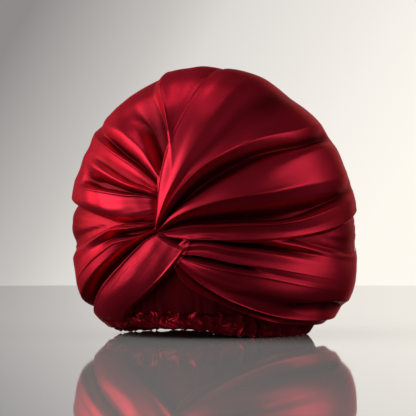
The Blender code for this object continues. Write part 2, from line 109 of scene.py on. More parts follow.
def across_lines(values, spot, crease=0.0):
    """Read a table of values across its fold lines, with a cubic between two lines.

    The slope at a line is as in read_rows. A crease of 1 gives each side of a line the slope of
    its own straight run instead, so the fold comes to a sharp edge there.
    """
    crease = np.broadcast_to(np.reshape(crease, (-1, 1)), (len(values), 1))
    rise = np.diff(values, axis=0)
    before, after = np.concatenate([rise[:1], rise]), np.concatenate([rise, rise[-1:]])
    total = np.where(before + after == 0, 1, before + after)
    level = np.where(before * after > 0, 2 * before * after / total, 0.0)
    leaving, arriving = level + crease * (after - level), level + crease * (before - level)
    place = np.clip(spot.astype(int), 0, len(values) - 2)
    t = (spot - place)[:, None]
    return ((1 + 2 * t) * (1 - t) ** 2 * values[place] + t * (1 - t) ** 2 * leaving[place]
            + t * t * (3 - 2 * t) * values[place + 1] - t * t * (1 - t) * arriving[place + 1])


# %% [markdown]
# ## What lies underneath
# The arms lie on each other, so each needs to know how far out the cloth below it comes in any
# direction. A ray could be cast for each point, but a map is quicker: all the points so far
# are laid on a flat map of directions, and each cell keeps the farthest.

# %% A map of the cloth below
MAP_POLE = unit(0.0, 25.0)
MAP_EAST = np.array([1.0, 0.0, 0.0])
MAP_NORTH = np.cross(MAP_POLE, MAP_EAST)
MAP_CELL, MAP_SIZE = 0.007, 572
# Points farther back than this share of their distance aren't laid on the map
MAP_EDGE = -0.7
# Rounds in which an empty cell takes the highest value next to it
MAP_MENDS = 3


def on_map(direction):
    """Lambert's equal-area map: across and up, times the root of 2 / (1 + depth)."""
    depth = np.clip(direction @ MAP_POLE, -0.999, 1.0)
    scale = np.sqrt(2 / (1 + depth)) / MAP_CELL
    place = np.stack([direction @ MAP_EAST * scale, direction @ MAP_NORTH * scale], -1)
    return np.clip(place + MAP_SIZE / 2, 1, MAP_SIZE - 3)


def finer(points, times):
    """The same grid of points with `times` steps for one along both sides, on straight lines."""
    for axis in (0, 1):
        place = np.linspace(0, points.shape[axis] - 1, times * (points.shape[axis] - 1) + 1)
        low = np.minimum(place.astype(int), points.shape[axis] - 2)
        share = (place - low).reshape([-1 if side == axis else 1 for side in range(3)])
        first, second = np.take(points, low, axis), np.take(points, low + 1, axis)
        points = first + (second - first) * share
    return points


def add_to_map(ground, points):
    """Lay a grid of points on the map, the farthest in each cell, and close small holes."""
    flat = finer(points - DOME, 2).reshape(-1, 3)
    flat = flat[flat @ MAP_POLE > MAP_EDGE * np.linalg.norm(flat, axis=1)]
    distance = np.linalg.norm(flat, axis=1)
    column, row = np.rint(on_map(flat / distance[:, None])).astype(int).T
    np.maximum.at(ground, (column, row), distance)
    for _ in range(MAP_MENDS):
        around = np.max([np.roll(ground, 1, 0), np.roll(ground, -1, 0),
                         np.roll(ground, 1, 1), np.roll(ground, -1, 1)], axis=0)
        ground = np.where(ground == 0, around, ground)
    return ground


def read_map(ground, direction):
    """Distance on the map in each direction, from the four cells around it."""
    place = on_map(direction)
    low = place.astype(int)
    share = place - low
    i, j, u, v = low[..., 0], low[..., 1], share[..., 0], share[..., 1]
    return ((1 - u) * (1 - v) * ground[i, j] + u * (1 - v) * ground[i + 1, j]
            + (1 - u) * v * ground[i, j + 1] + u * v * ground[i + 1, j + 1])


def soften(field, rounds):
    """Spread each value's highest neighbour, then average over neighbours, a few times."""
    padded = np.pad(field, 1, mode="edge")
    views = [padded[1 + i:padded.shape[0] - 1 + i, 1 + j:padded.shape[1] - 1 + j]
             for i in (-1, 0, 1) for j in (-1, 0, 1)]
    field = np.max(views, axis=0)
    for _ in range(rounds):
        padded = np.pad(field, 1, mode="edge")
        field = sum(padded[1 + i:padded.shape[0] - 1 + i, 1 + j:padded.shape[1] - 1 + j]
                    for i in (-1, 0, 1) for j in (-1, 0, 1)) / 9
    return field


# %% [markdown]
# ## From a grid of points to a piece
# A grid of points becomes a mesh of four-cornered faces, with a UV map in metres of cloth, so
# that the weave keeps its scale. The bonnet leans a little as it stands, and that is added
# last.

# %% Grid to mesh
def grid_mesh(name, points, round_first=False, painted_shade=None):
    """A mesh object from a grid of points; `round_first` joins the first side up to itself.

    The painted shade for the folds, 0 to 1 for each point, is kept on the mesh for the satin to
    read.
    """
    leaning = points.copy()
    leaning[..., 0] += LEAN * (leaning[..., 2] - DROP)
    columns, rows = points.shape[:2]
    index = np.arange(columns * rows).reshape(columns, rows)
    length = np.linalg.norm(np.diff(points, axis=1), axis=-1)
    width = np.linalg.norm(np.diff(points, axis=0), axis=-1)
    along = np.concatenate([np.zeros((columns, 1)), np.cumsum(length, axis=1)], axis=1)
    side = np.concatenate([[0.0], np.cumsum(width.mean(axis=1))])
    uv = np.stack([np.broadcast_to(side[:, None], along.shape), along], -1)
    if round_first:
        index[-1] = index[0]
    corners = np.stack([index[:-1, :-1], index[1:, :-1], index[1:, 1:], index[:-1, 1:]], -1)
    place = np.arange(columns * rows).reshape(columns, rows)
    uv_corners = np.stack([place[:-1, :-1], place[1:, :-1], place[1:, 1:], place[:-1, 1:]], -1)
    used = (columns - 1) * rows if round_first else columns * rows
    mesh = bpy.data.meshes.new(name)
    mesh.from_pydata(leaning.reshape(-1, 3)[:used].tolist(), [], corners.reshape(-1, 4).tolist())
    layer = mesh.uv_layers.new(name="cloth")
    layer.data.foreach_set("uv", uv.reshape(-1, 2)[uv_corners.ravel()].astype(np.float32).ravel())
    if painted_shade is not None:
        kept = mesh.attributes.new("painted_shade", "FLOAT", "POINT")
        kept.data.foreach_set("value", painted_shade.ravel()[:used].astype(np.float32))
    mesh.shade_smooth()
    made = bpy.data.objects.new(name, mesh)
    bpy.context.scene.collection.objects.link(made)
    print(name, len(mesh.polygons), "faces")
    return made


# %% [markdown]
# ## Small unevenness
# No cloth is as even as a formula. A few waves, at set angles and with set starts, are added
# up into a field that looks uneven but is the same each time the script runs.

# %% Uneven waves
def uneven(u, v, size, seed, count=9):
    """Sum of `count` sine waves over (u, v), about `size` long, at angles drawn from a seed."""
    draw = np.random.default_rng(seed)
    total = np.zeros(np.broadcast(u, v).shape)
    for _ in range(count):
        angle, start = draw.uniform(0, 2 * np.pi, 2)
        pitch = 2 * np.pi / (size * draw.uniform(0.7, 1.6))
        total += np.sin(pitch * (u * np.cos(angle) + v * np.sin(angle)) + start)
    return total / np.sqrt(count)


# %% [markdown]
# ## The cap
# The cap is what the head goes into. It is sunk under the arms, puffs out between them at each
# side, and is all that shows at the back, where soft folds rise from the gathered hem. It is
# made as one surface that runs up the outside and down the inside, so it has a real wall.
# A ball could be sculpted by hand instead, but folds that are formulas keep their places when
# a size is changed, and they come out the same on each run.

# %% The cap's sizes
# Thickness of the cloth, and how deep the cap is sunk under the arms
CLOTH, RECESS = 0.0012, 0.0135
HEM_HALF_WIDTH, HEM_HALF_DEPTH, HEM_X, HEM_Y = 0.0860, 0.0900, -0.0066, -0.0040
HEM_HEIGHT, HEM_FLARE = 0.0250, 0.0100
# The cap's rim lies outside the hem's ring and a little below the hem's top
RIM_OUT, RIM_DOWN = 0.0042, 0.0030
# Degrees above the rim over which the dome runs into the ring
CROWN_BLEND = 16.0
CAP_COLUMNS, CAP_ROWS = 480, 100

# Share of the recess that is left, by degrees from the front
RECESS_TABLE = np.array([
    (0.0, 1.00), (76.0, 1.00), (96.0, 0.50), (111.0, 0.14), (120.0, 0.00), (180.0, 0.00),
])
# Puffs of the cap between the arms: azimuth, elevation, width across and along, height
PUFFS = [(-74.0, -2.0, 50.0, 17.0, 0.0150), (90.0, -5.0, 34.0, 13.0, 0.0130)]
# Creases where the cap is caught under the arms: azimuth and elevation that they run from,
# bearing from there, width in degrees and depth
CREASES = [
    (-21.0, 0.0, 170.0, 4.0, 0.0030), (-21.0, 0.0, 191.0, 4.0, 0.0026),
    (-21.0, 0.0, 180.0, 3.0, 0.0010), (66.0, -5.0, 8.0, 7.0, 0.0020),
    (66.0, -5.0, -9.0, 6.0, 0.0018),
]
# Folds that rise round the back: how many, how many degrees up they reach, and height
BACK_FOLDS = [(13, 50.0, 0.0050), (23, 30.0, 0.0030)]
BACK_WAVES = 0.0016
# Gathers right above the hem: how many, their height, and how many degrees up they reach
CAP_GATHERS, GATHER_HEIGHT, GATHER_REACH = 46, 0.0046, 8.0
# The seam's groove, and the puckers along it
SEAM_WIDTH, SEAM_DEPTH = 1.3, 0.0022
PUCKERS, PUCKER_HEIGHT, PUCKER_REACH = 84, 0.0004, 5.0
print(len(PUFFS), "puffs,", len(CREASES), "creases,", len(BACK_FOLDS), "rows of folds at the back")

# %% Helpers for the cap
def read_table(table, at):
    """Read a two-column table with a cubic at any places."""
    flat = np.reshape(at, (1, -1))
    return read_rows(table[:, 0], table[None, :, 1], flat).reshape(np.shape(at))


def hem_ring(angle, across, height):
    """Oval round the mouth: half width and depth grow with height and by `across`."""
    grown = HEM_FLARE * height / HEM_HEIGHT + across
    return np.stack([
        DOME[0] + HEM_X + (HEM_HALF_WIDTH + grown) * np.sin(angle),
        DOME[1] + HEM_Y - (HEM_HALF_DEPTH + grown) * np.cos(angle),
        height + 0 * angle,
    ], -1)


def fan_frame(apex):
    """Pole, east and north of a fan at its apex."""
    pole = unit(*apex)
    east = np.array([np.cos(np.radians(apex[0])), np.sin(np.radians(apex[0])), 0.0])
    return pole, east, np.cross(pole, east)


def seam_puckers(direction):
    """Small waves along the seam behind the ears, fading within a few degrees of it."""
    from_front = np.degrees(np.arccos(np.clip(-direction[..., 1], -1, 1)))
    round_seam = np.arctan2(direction[..., 2], direction[..., 0])
    phase = PUCKERS * round_seam + 1.2 * np.sin(7 * round_seam) + np.sin(17 * round_seam)
    return PUCKER_HEIGHT * np.sin(phase) * np.exp(-np.abs(from_front - SEAM) / PUCKER_REACH)


# %% Folds of the cap
def cap_forms(direction, azimuth, elevation, from_front):
    """Less the recess, plus each puff as a bell, less each crease as a groove along a line."""
    turn = (azimuth + 180) % 360 - 180
    lift = -RECESS * read_table(RECESS_TABLE, from_front)
    for puff_azimuth, puff_elevation, wide, tall, high in PUFFS:
        away = ((turn - puff_azimuth) / wide) ** 2 + ((elevation - puff_elevation) / tall) ** 2
        lift = lift + high * np.exp(-away) * np.clip(-lift / RECESS, 0, 1)
    for start_azimuth, start_elevation, bearing, wide, deep in CREASES:
        pole, east, north = fan_frame((start_azimuth, start_elevation))
        across = np.degrees(np.arctan2(direction @ north, direction @ east)) - bearing
        across = (across + 180) % 360 - 180
        arc = np.degrees(np.arccos(np.clip(direction @ pole, -1, 1)))
        run = smooth(arc / 12) * smooth((75 - arc) / 40)
        lift = lift - deep * np.exp(-np.abs(across / wide) ** 1.5) * run
    return lift


def back_folds(azimuth, elevation, above_rim):
    """Rows of |sin| of the azimuth with a drifting phase, fading upwards, and a slow wave."""
    east, north = np.sin(np.radians(azimuth)), np.cos(np.radians(azimuth))
    drift = uneven(5 * east, 5 * north + elevation / 40, 2.5, 3)
    lift = BACK_WAVES * uneven(5 * east, 5 * north + elevation / 30, 1.8, 9)
    for count, reach, high in BACK_FOLDS:
        wave = np.abs(np.sin(0.5 * count * np.radians(azimuth) + (1.3 + 0.02 * count) * drift))
        lift = lift + high * (wave - 0.75) * np.exp(-np.maximum(above_rim, 0) / reach)
    return lift


def rim_gathers(azimuth, elevation, above_rim):
    """Round crests |sin| of an uneven phase round the rim, fading upwards."""
    east, north = np.sin(np.radians(azimuth)), np.cos(np.radians(azimuth))
    phase = CAP_GATHERS * np.radians(azimuth) + 1.6 * uneven(6 * east, 6 * north, 1.1, 5)
    phase = phase + 0.5 * uneven(6 * east, 6 * north + elevation / 9, 1.5, 6)
    crest = np.abs(np.sin(phase / 2)) ** 0.9 - 0.62
    strength = 0.8 + 0.3 * uneven(6 * east, 6 * north, 1.7, 8)
    return GATHER_HEIGHT * strength * crest * np.exp(-np.maximum(above_rim, 0) / GATHER_REACH)


# %% The cap
def cap_surface():
    """Outer and inner grid: dome plus forms and folds, run into the ring over the hem."""
    angle = np.linspace(0, 2 * np.pi, CAP_COLUMNS + 1)
    rim = hem_ring(angle, RIM_OUT, HEM_HEIGHT - RIM_DOWN) - DOME
    azimuth = np.degrees(np.unwrap(np.arctan2(rim[:, 0], -rim[:, 1])))[:, None]
    lowest = np.degrees(np.arctan2(rim[:, 2], np.hypot(rim[:, 0], rim[:, 1])))[:, None]
    elevation = 90 + (lowest - 90) * np.linspace(0, 1, CAP_ROWS + 1)[None, :] ** 0.8
    azimuth = np.broadcast_to(azimuth, elevation.shape)
    above_rim = elevation - lowest
    direction = unit(azimuth, elevation)
    from_front = np.degrees(np.arccos(np.clip(-direction[..., 1], -1, 1)))
    lift = cap_forms(direction, azimuth, elevation, from_front) + seam_puckers(direction)
    lift = lift - SEAM_DEPTH * np.exp(-((from_front - SEAM - 1.5) / SEAM_WIDTH) ** 2)
    behind = smooth((from_front - SEAM - 2) / 25)
    lift = lift + behind * back_folds(azimuth, elevation, above_rim)
    distance = envelope(direction) + lift
    rim_distance = np.linalg.norm(rim, axis=1)[:, None]
    distance = distance + (rim_distance - distance) * smooth(1 - above_rim / CROWN_BLEND)
    distance = distance + rim_gathers(azimuth, elevation, above_rim)
    outer = DOME + direction * distance[..., None]
    inner = DOME + direction * (distance - CLOTH)[..., None]
    outer[-1], inner[-1] = outer[0], inner[0]
    outer[:, 0], inner[:, 0] = outer[0, 0], inner[0, 0]
    return outer, inner


cap_outer, cap_inner = cap_surface()
cap = grid_mesh("cap", np.concatenate([cap_outer, cap_inner[:, ::-1]], axis=1), round_first=True)

# %% [markdown]
# ## The elastic hem
# A narrow casing of the same satin holds the elastic, which bunches it into a crowded frill.
# It is a flattened tube carried round the oval of the mouth. Its crests are round and its
# valleys sharp, uneven in width, and they lean over sideways, as bunched cloth does. A curve
# with a bevel would give the tube but no gathers, so the tube is a grid as well.

# %% The hem
HEM_PADDING = 0.0056
GATHERS, RUFFLE, FINE_RUFFLE, FOOT_RISE = 41, 0.0074, 0.0012, 0.0015
HEM_COLUMNS, HEM_ROUND = 1500, 40
# Height of the arch at the front, and the share of it by azimuth
HEM_LIFT = 0.0085
ARCH_TABLE = np.array([
    (-180.0, 0.00), (-94.0, 0.00), (-76.0, 0.50), (-58.0, 1.00), (-15.0, 1.00),
    (16.0, 0.80), (34.0, 0.35), (48.0, 0.00), (180.0, 0.00),
])


def hem_surface():
    """Casing: an oval section carried round the mouth, with crests |sin| and leaning folds."""
    angle = np.linspace(0, 2 * np.pi, HEM_COLUMNS + 1)[:, None]
    section = np.linspace(0, 2 * np.pi, HEM_ROUND + 1)[None, :]
    azimuth = np.degrees(np.arctan2(np.sin(angle), np.cos(angle)))
    arch = HEM_LIFT * read_table(ARCH_TABLE, azimuth)
    outward, upward = np.cos(section), np.sin(section)
    east, north = 9 * np.sin(angle), 9 * np.cos(angle)
    jitter = 2.4 * uneven(east, north, 2.4, 11) + 0.9 * uneven(east, north + 0.8 * upward, 1.1, 12)
    phase = GATHERS * angle + jitter + 1.5 * upward
    crest = np.abs(np.sin(phase / 2)) ** 0.9
    small = np.abs(np.sin(1.37 * phase + 2 * uneven(east, north + upward, 1.5, 15)))
    strength = 0.85 + 0.40 * uneven(east, north, 1.6, 13)
    facing = np.clip(0.35 + 0.65 * outward, 0, 1)
    ruffle = RUFFLE * strength * (crest - 0.70) + FINE_RUFFLE * (small - 0.6)
    across = 0.62 * HEM_PADDING * outward + ruffle * facing + 0.0008
    foot = arch + FOOT_RISE * np.cos(phase / 2) ** 2 * strength
    top = HEM_HEIGHT - 0.0010 + 0.0020 * (crest - 0.5)
    middle = (foot + top) / 2
    height = middle + (top - foot) / 2 * np.sign(upward) * np.abs(upward) ** 0.9
    lean = (0.9 * np.sin(phase) + 0.5 * uneven(east, north + 0.6 * upward, 1.3, 14)) / GATHERS
    points = hem_ring(angle + 0.75 * lean * facing, across, np.maximum(height, 0.0))
    points[-1] = points[0]
    points[:, -1] = points[:, 0]
    return points


hem_points = hem_surface()
hem = grid_mesh("hem", hem_points, round_first=True)

# %% [markdown]
# ## The four arms
# On the real bonnet two strips of satin are crossed over each other and pulled tight, so that
# each half of each strip fans out from the twist. Blender's Cloth could pull a strip tight, but
# its pleats would fall where they like, and here each one has a place that can be seen. So a
# fan is drawn in polar coordinates on the dome: a bearing round the fan's own apex and an arc
# away from it. Each row of a table is one fold line, with its bearing at five stations along
# the way, its height there, and how sharp its crease is.

# %% The fold lines
# Height of a lift of 1; a lift of -2 lies on whatever is below
FOLD = 0.010
# Arcs and elevations are in degrees: "nearest" is where an arm starts, "hidden" to "free" where
# it comes out from under the twist, "calm" where its folds are at full height, and "lowest" the
# elevation where it is tucked in above the hem
FANS = {
    "lower_right_arm": {
        "apex": (4.4, -11.3),
        "stations": (8.0, 24.0, 36.0, 68.0, 104.0),
        "nearest": 0.6, "hidden": -9.0, "free": -5.0, "calm": 16.0, "lowest": -46.5,
        "lines": [
            # name, five bearings, five lifts, crease
            ("tucked edge", 41, 13, 6, -8, -17, -2, -2, -2, -2, -2, 0),
            ("top edge", 45, 15.5, 8, -6, -15, -0.6, -0.6, -0.6, -0.6, -0.6, 0),
            ("top rim", 37, 10.5, 4.5, -8.5, -17.5, 0.2, 0.1, 0.0, 0.0, 0.0, 0),
            ("valley under the twist", 31, 6, -0.5, -10, -19, -0.3, -0.7, -0.6, 0.0, 0.0, 0.3),
            ("first crest", 22, 1.5, -3.5, -13, -21, 0.3, 0.3, 0.2, 0.25, 0.08, 0.2),
            ("first dip", 9, -4, -7.5, -15.5, -23, 0.1, 0.15, 0.25, 0.36, 0.1, 0),
            ("hook crest", 0, -9.5, -11.5, -18, -25.5, 0.4, 0.5, 0.42, 0.43, 0.12, 0.8),
            ("hook pocket", -6, -12.5, -14.5, -20.5, -28, -0.5, -1.3, 0.35, 0.48, 0.15, 0.3),
            ("hook lip", -17, -16.5, -17.5, -22.5, -30, 0.3, 0.65, 0.55, 0.52, 0.18, 0.8),
            ("broad belly", -34, -29, -25.5, -26.5, -34, 0.4, 0.6, 0.8, 0.5, 0.2, 0),
            ("low pocket", -40.5, -36, -32, -31.5, -38.5, 0.2, 0.3, 0.3, -0.6, -0.1, 0.2),
            ("low crest", -45, -41, -39, -37.5, -42, 0.5, 0.6, 0.5, 0.4, 0.1, 0.9),
            ("low valley", -53, -44.5, -41, -39.5, -44.5, -0.3, -0.3, -0.2, 0.0, 0.0, 0.3),
            ("bottom rim", -66, -48.5, -44, -42, -47, 0.3, 0.3, 0.3, 0.2, 0.1, 0.8),
            ("bottom edge", -79, -52, -47, -44.5, -49, -0.7, -0.7, -0.7, -0.7, -0.7, 0),
            ("tucked hem", -75, -50, -45.5, -43, -48, -2, -2, -2, -2, -2, 0),
        ],
    },
    "lower_left_arm": {
        "apex": (16.6, 12.9),
        "stations": (22.0, 30.0, 42.0, 60.0, 120.0),
        "nearest": 15.0, "hidden": 18.0, "free": 24.0, "calm": 24.0, "lowest": -43.5,
        "lines": [
            ("tucked edge", -105, -111.5, -119, -126.5, -128, -2, -2, -2, -2, -2, 0),
            ("right edge", -102, -109, -117.5, -125, -127, -0.6, -0.6, -0.6, -0.5, -0.5, 0),
            ("right rim", -106, -112.5, -120, -127, -129, 0.5, 0.5, 0.4, 0.3, 0.2, 0.8),
            ("band", -126, -128, -131, -134.5, -135.5, 0.6, 0.6, 0.6, 0.5, 0.2, 0),
            ("crisp crease", -134, -139.5, -140, -141, -141, 0.6, 0.6, 0.6, 0.4, 0.1, 0.9),
            ("curved valley", -136, -141.5, -143, -144.5, -143.5, 0.0, -0.5, -0.9, -1.0, -0.2, 0.3),
            ("lit strip", -138, -143.5, -148.5, -149, -147.5, 0.2, 0.3, 0.4, 0.4, 0.1, 0.1),
            ("pocket lip", -140, -145.5, -152.5, -153.5, -153, 0.4, 0.6, 0.5, 0.4, 0.1, 0.8),
            ("almond pocket", -142, -149, -156.5, -158, -160, -0.5, -1.2, -0.3, 0.2, 0.1, 0.2),
            ("pocket top", -144.5, -153.5, -160.5, -161.5, -168, 0.4, 0.6, 0.5, 0.3, 0.1, 0.7),
            ("top edge", -147, -156.5, -163.5, -165, -175, -0.6, -0.6, -0.6, -0.6, -0.6, 0),
            ("tucked top", -145.5, -155, -162, -163.5, -173, -2, -2, -2, -2, -2, 0),
        ],
    },
    "upper_left_arm": {
        "apex": (7.2, 7.2),
        "stations": (10.0, 22.0, 38.0, 58.0, 118.0),
        "nearest": 1.0, "hidden": 3.0, "free": 11.0, "calm": 12.0, "lowest": -42.0,
        "lines": [
            ("covered edge", 86, 82, 76, 69, 72, -2, -2, -2, -2, -2, 0),
            ("flank", 91, 90, 89, 87, 88, -0.1, 0.0, 0.1, 0.2, 0.1, 0),
            ("first crease", 95, 96.5, 100.5, 104.5, 104, 0.1, 0.4, 0.6, 0.5, 0.2, 1),
            ("first valley", 100, 101, 104, 109, 109, -0.5, -0.9, -0.7, 0.0, 0.0, 0.5),
            ("wedge floor", 108, 110, 114, 119, 117, -0.5, -0.9, -0.7, 0.0, 0.0, 0.3),
            ("second ridge", 123, 124, 130, 135, 128, 0.2, 0.4, 0.6, 0.25, 0.1, 0.1),
            ("second valley", 131, 134.5, 138.5, 139.5, 132.5, -0.2, -0.4, -0.6, 0.0, 0.0, 0.3),
            ("second crest", 135, 139, 142.5, 143.5, 137, 0.2, 0.3, 0.4, 0.25, 0.1, 0.8),
            ("third dip", 146, 152, 151, 149.5, 142, -0.1, -0.2, -0.2, 0.1, 0.0, 0),
            ("third ridge", 154, 158, 156.5, 155, 147, 0.2, 0.3, 0.3, 0.2, 0.1, 0.2),
            ("third valley", 159.5, 164, 164, 162, 152, -0.3, -0.7, -1.0, 0.05, 0.0, 0.2),
            ("fourth crest", 164.5, 169.5, 169, 167, 155.5, 0.2, 0.5, 0.5, 0.25, 0.1, 0.9),
            ("broad cheek", 188, 184, 177, 172, 160, 0.1, 0.3, 0.4, 0.25, 0.1, 0),
            ("bottom rim", 214, 197, 182.5, 175, 163.5, -0.3, -0.3, -0.1, 0.2, 0.1, 0.2),
            ("bottom edge", 220, 200.5, 185, 177, 165.5, -0.5, -0.5, -0.5, -0.5, -0.5, 0),
            ("tucked hem", 217, 199, 183.5, 176, 164.5, -2, -2, -2, -2, -2, 0),
        ],
    },
    "upper_right_arm": {
        "apex": (-1.1, -3.9),
        "stations": (8.0, 25.0, 50.0, 80.0, 116.0),
        "nearest": 1.6, "hidden": -9.0, "free": -5.0, "calm": 5.0, "lowest": -42.0,
        "lines": [
            ("tucked edge", 83, 84, 82, 81.5, 83, -2, -2, -2, -2, -2, 0),
            ("left edge", 87, 87, 84.5, 84, 84.5, -0.2, -0.2, -0.2, -0.2, -0.2, 0),
            ("left crest", 82, 84, 81.5, 81, 81, 0.3, 0.35, 0.35, 0.3, 0.1, 0.8),
            ("left face", 75, 75, 75, 75, 75, 0.5, 0.55, 0.55, 0.45, 0.1, 0),
            ("first ridge", 70, 68, 68, 69, 69, 0.6, 0.7, 0.6, 0.45, 0.1, 0.2),
            ("second valley", 65.5, 61, 57, 57, 58, 0.35, 0.3, 0.25, -0.1, 0.0, 0),
            ("second ridge", 61.5, 56.5, 46.5, 40, 43, 0.5, 0.6, 0.5, 0.5, 0.1, 1),
            ("third valley", 54, 49, 41, 35, 37, -0.6, -0.9, -0.5, -0.4, 0.0, 0.5),
            ("third ridge", 47, 33.5, 30, 30, 30, 0.3, 0.4, 0.3, 0.5, 0.1, 0.1),
            ("fifth crest", 38, 27.5, 19.5, 18, 21, 0.5, 0.6, 0.6, 0.5, 0.1, 1),
            ("fifth valley", 22, 10.5, 6, 10, 14, -0.4, -0.8, -0.9, -0.3, 0.0, 0.3),
            ("sixth crest", 14, 6.5, 3.5, 7, 10.5, 0.3, 0.4, 0.4, 0.3, 0.1, 0.8),
            ("lower band", 4, 0.5, -1, 2.5, 7.5, 0.2, 0.2, 0.2, 0.2, 0.1, 0),
            ("bottom rim", -8.5, -5.5, -3.5, -0.5, 5, 0.2, 0.25, 0.25, 0.2, 0.1, 0.8),
            ("bottom edge", -11, -7.5, -5.5, -2.5, 3, -0.6, -0.6, -0.6, -0.6, -0.6, 0),
            ("tucked hem", -8, -6, -4.5, -1.5, 4, -2, -2, -2, -2, -2, 0),
        ],
    },
}
print("fold lines", {name: len(fan["lines"]) for name, fan in FANS.items()})

# %% [markdown]
# ## Reading a fan
# Each line is first followed from the twist to where it is caught in, at the seam behind the
# ears or low above the hem. Then the lines are read across, and every place of the grid has a
# bearing, an arc and a lift. The lift becomes a distance from the middle of the dome, and
# where the cloth below comes out farther, the arm rests on it.

# %% Fans
def fan_direction(apex, bearing, arc):
    """Unit vectors: cos(arc) along the pole, sin(arc) along the bearing from east to north."""
    pole, east, north = fan_frame(apex)
    bearing, arc = np.radians(bearing)[..., None], np.radians(arc)[..., None]
    return np.cos(arc) * pole + np.sin(arc) * (np.cos(bearing) * east + np.sin(bearing) * north)


def arc_until(axis_pole, axis_side, limit):
    """First arc at which pole*cos(arc) + side*sin(arc) crosses the limit."""
    size = np.hypot(axis_pole, axis_side)
    phase = np.degrees(np.arctan2(axis_side, axis_pole))
    swing = np.degrees(np.arccos(np.clip(limit / size, -1, 1)))
    first = np.stack([phase - swing, phase + swing]) % 360
    return np.where(np.abs(limit) < size, first.min(axis=0), 360.0)


def fan_end(apex, bearing, lowest):
    """Arc at which a bearing reaches the seam behind the ears, or a lowest elevation."""
    pole, east, north = fan_frame(apex)
    side = (np.cos(np.radians(bearing))[..., None] * east
            + np.sin(np.radians(bearing))[..., None] * north)
    to_seam = arc_until(pole[1], side[..., 1], -np.cos(np.radians(SEAM)))
    return np.minimum(to_seam, arc_until(pole[2], side[..., 2], np.sin(np.radians(lowest))))


# A fold this sharp is also rolled over a little: height as a lift, width in fold lines, and
# the shares of the way between which the roll dies out
SHARP, ROLL_HEIGHT, ROLL_WIDTH = 0.8, 0.10, 0.10
ROLL_FADE, ROLL_GONE = 0.22, 0.60


def read_fan(fan, columns, rows):
    """Bearing, arc and lift over the grid, and how far along each place is, from 0 to 1."""
    table = np.array([line[1:] for line in fan["lines"]], float)
    bearings, lifts, crease = table[:, :5], table[:, 5:10], table[:, 10]
    stations = np.array(fan["stations"])
    end = np.full(len(table), stations[-1])
    for _ in range(6):
        last = read_rows(stations, bearings, end[:, None])[:, 0]
        end = fan_end(fan["apex"], last, fan["lowest"])
    along = np.linspace(0, 1, rows + 1) ** 1.25
    arc = fan["nearest"] + (end - fan["nearest"])[:, None] * along
    spot = np.linspace(0, len(table) - 1, columns + 1)
    beside = np.exp(-((spot[:, None] - np.arange(len(table))) / ROLL_WIDTH) ** 2)
    rolled = (beside * np.where(crease >= SHARP, ROLL_HEIGHT, 0.0)).sum(axis=1)[:, None]
    rolled = rolled * (1 - 0.95 * smooth((along - ROLL_FADE) / (ROLL_GONE - ROLL_FADE)))
    return (across_lines(read_rows(stations, bearings, arc), spot),
            across_lines(arc, spot),
            across_lines(read_rows(stations, lifts, arc), spot, crease) + rolled,
            np.broadcast_to(along, (columns + 1, rows + 1)))


# %% Arms
ARM_COLUMNS, ARM_ROWS = 240, 200
# Air between two layers, and the length over which an arm comes to rest on the one below
AIR, REST = 0.0007, 0.0012
# Shares of the way from the end over which an arm is tucked in, and its folds are sewn flat
TUCKED, SEWN = 0.03, 0.22
VALLEY_DEEPER = 1.5
# Painted shade in the folds: columns each way for a row's mean, and the depth under it for full
# shade
SHADE_REACH, SHADE_DEPTH = 20, 0.0045


def paint_fold_shade(distance):
    """Painted fold shade, 0 to 1: depth under the mean of its row, over the reach each way."""
    reach = SHADE_REACH
    padded = np.pad(distance, ((reach + 1, reach), (0, 0)), mode="edge")
    total = np.cumsum(padded, axis=0)
    mean = (total[2 * reach + 1:] - total[:-2 * reach - 1]) / (2 * reach + 1)
    return smooth((mean - distance) / SHADE_DEPTH)


def arm_surface(name, ground, seed):
    """Dome plus folds, or the cloth below plus air where that is farther out.

    The two are joined smoothly: half of their sum and of the root of their difference squared
    plus a small length squared.
    """
    fan = FANS[name]
    bearing, arc, lift, along = read_fan(fan, ARM_COLUMNS, ARM_ROWS)
    near = np.exp(-(arc - fan["nearest"]) / 14.0)
    out = smooth((arc - fan["hidden"]) / (fan["free"] - fan["hidden"]))
    middle = smooth((1 - along) / TUCKED)
    sewn = smooth((1 - along) / SEWN)
    lift = np.where(lift < 0, VALLEY_DEEPER * lift, lift) * (0.25 + 0.75 * sewn)
    folded = smooth(0.15 + 0.85 * arc / fan["calm"])
    lift = np.where(lift > -0.85, 0.1 + (lift - 0.1) * folded, lift)
    lift = lift * middle * out - 2.0 * (1 - middle) - 1.2 * (1 - out)
    pull = uneven(bearing, 0.2 * arc, 10.0, seed) * (0.025 - 0.02 * near)
    slack = uneven(bearing * np.sin(np.radians(arc)), arc, 24.0, seed + 1) * 0.04
    direction = fan_direction(fan["apex"], bearing, arc)
    own = envelope(direction) + FOLD * (lift + (pull + slack) * middle) + seam_puckers(direction)
    floor = soften(read_map(ground, direction), 2) + AIR
    distance = 0.5 * (own + floor + np.sqrt((own - floor) ** 2 + REST ** 2))
    # The points, and the painted shade for the arm's folds
    return DOME + direction * distance[..., None], paint_fold_shade(distance)


ground = np.zeros((MAP_SIZE, MAP_SIZE))
ground = add_to_map(add_to_map(ground, cap_outer), hem_points)
arms = {}
for seed, name in enumerate(FANS):
    # Each arm keeps its painted fold shade for the satin
    points, painted_shade = arm_surface(name, ground, 20 + 3 * seed)
    ground = add_to_map(ground, points)
    arms[name] = grid_mesh(name, points, painted_shade=painted_shade)
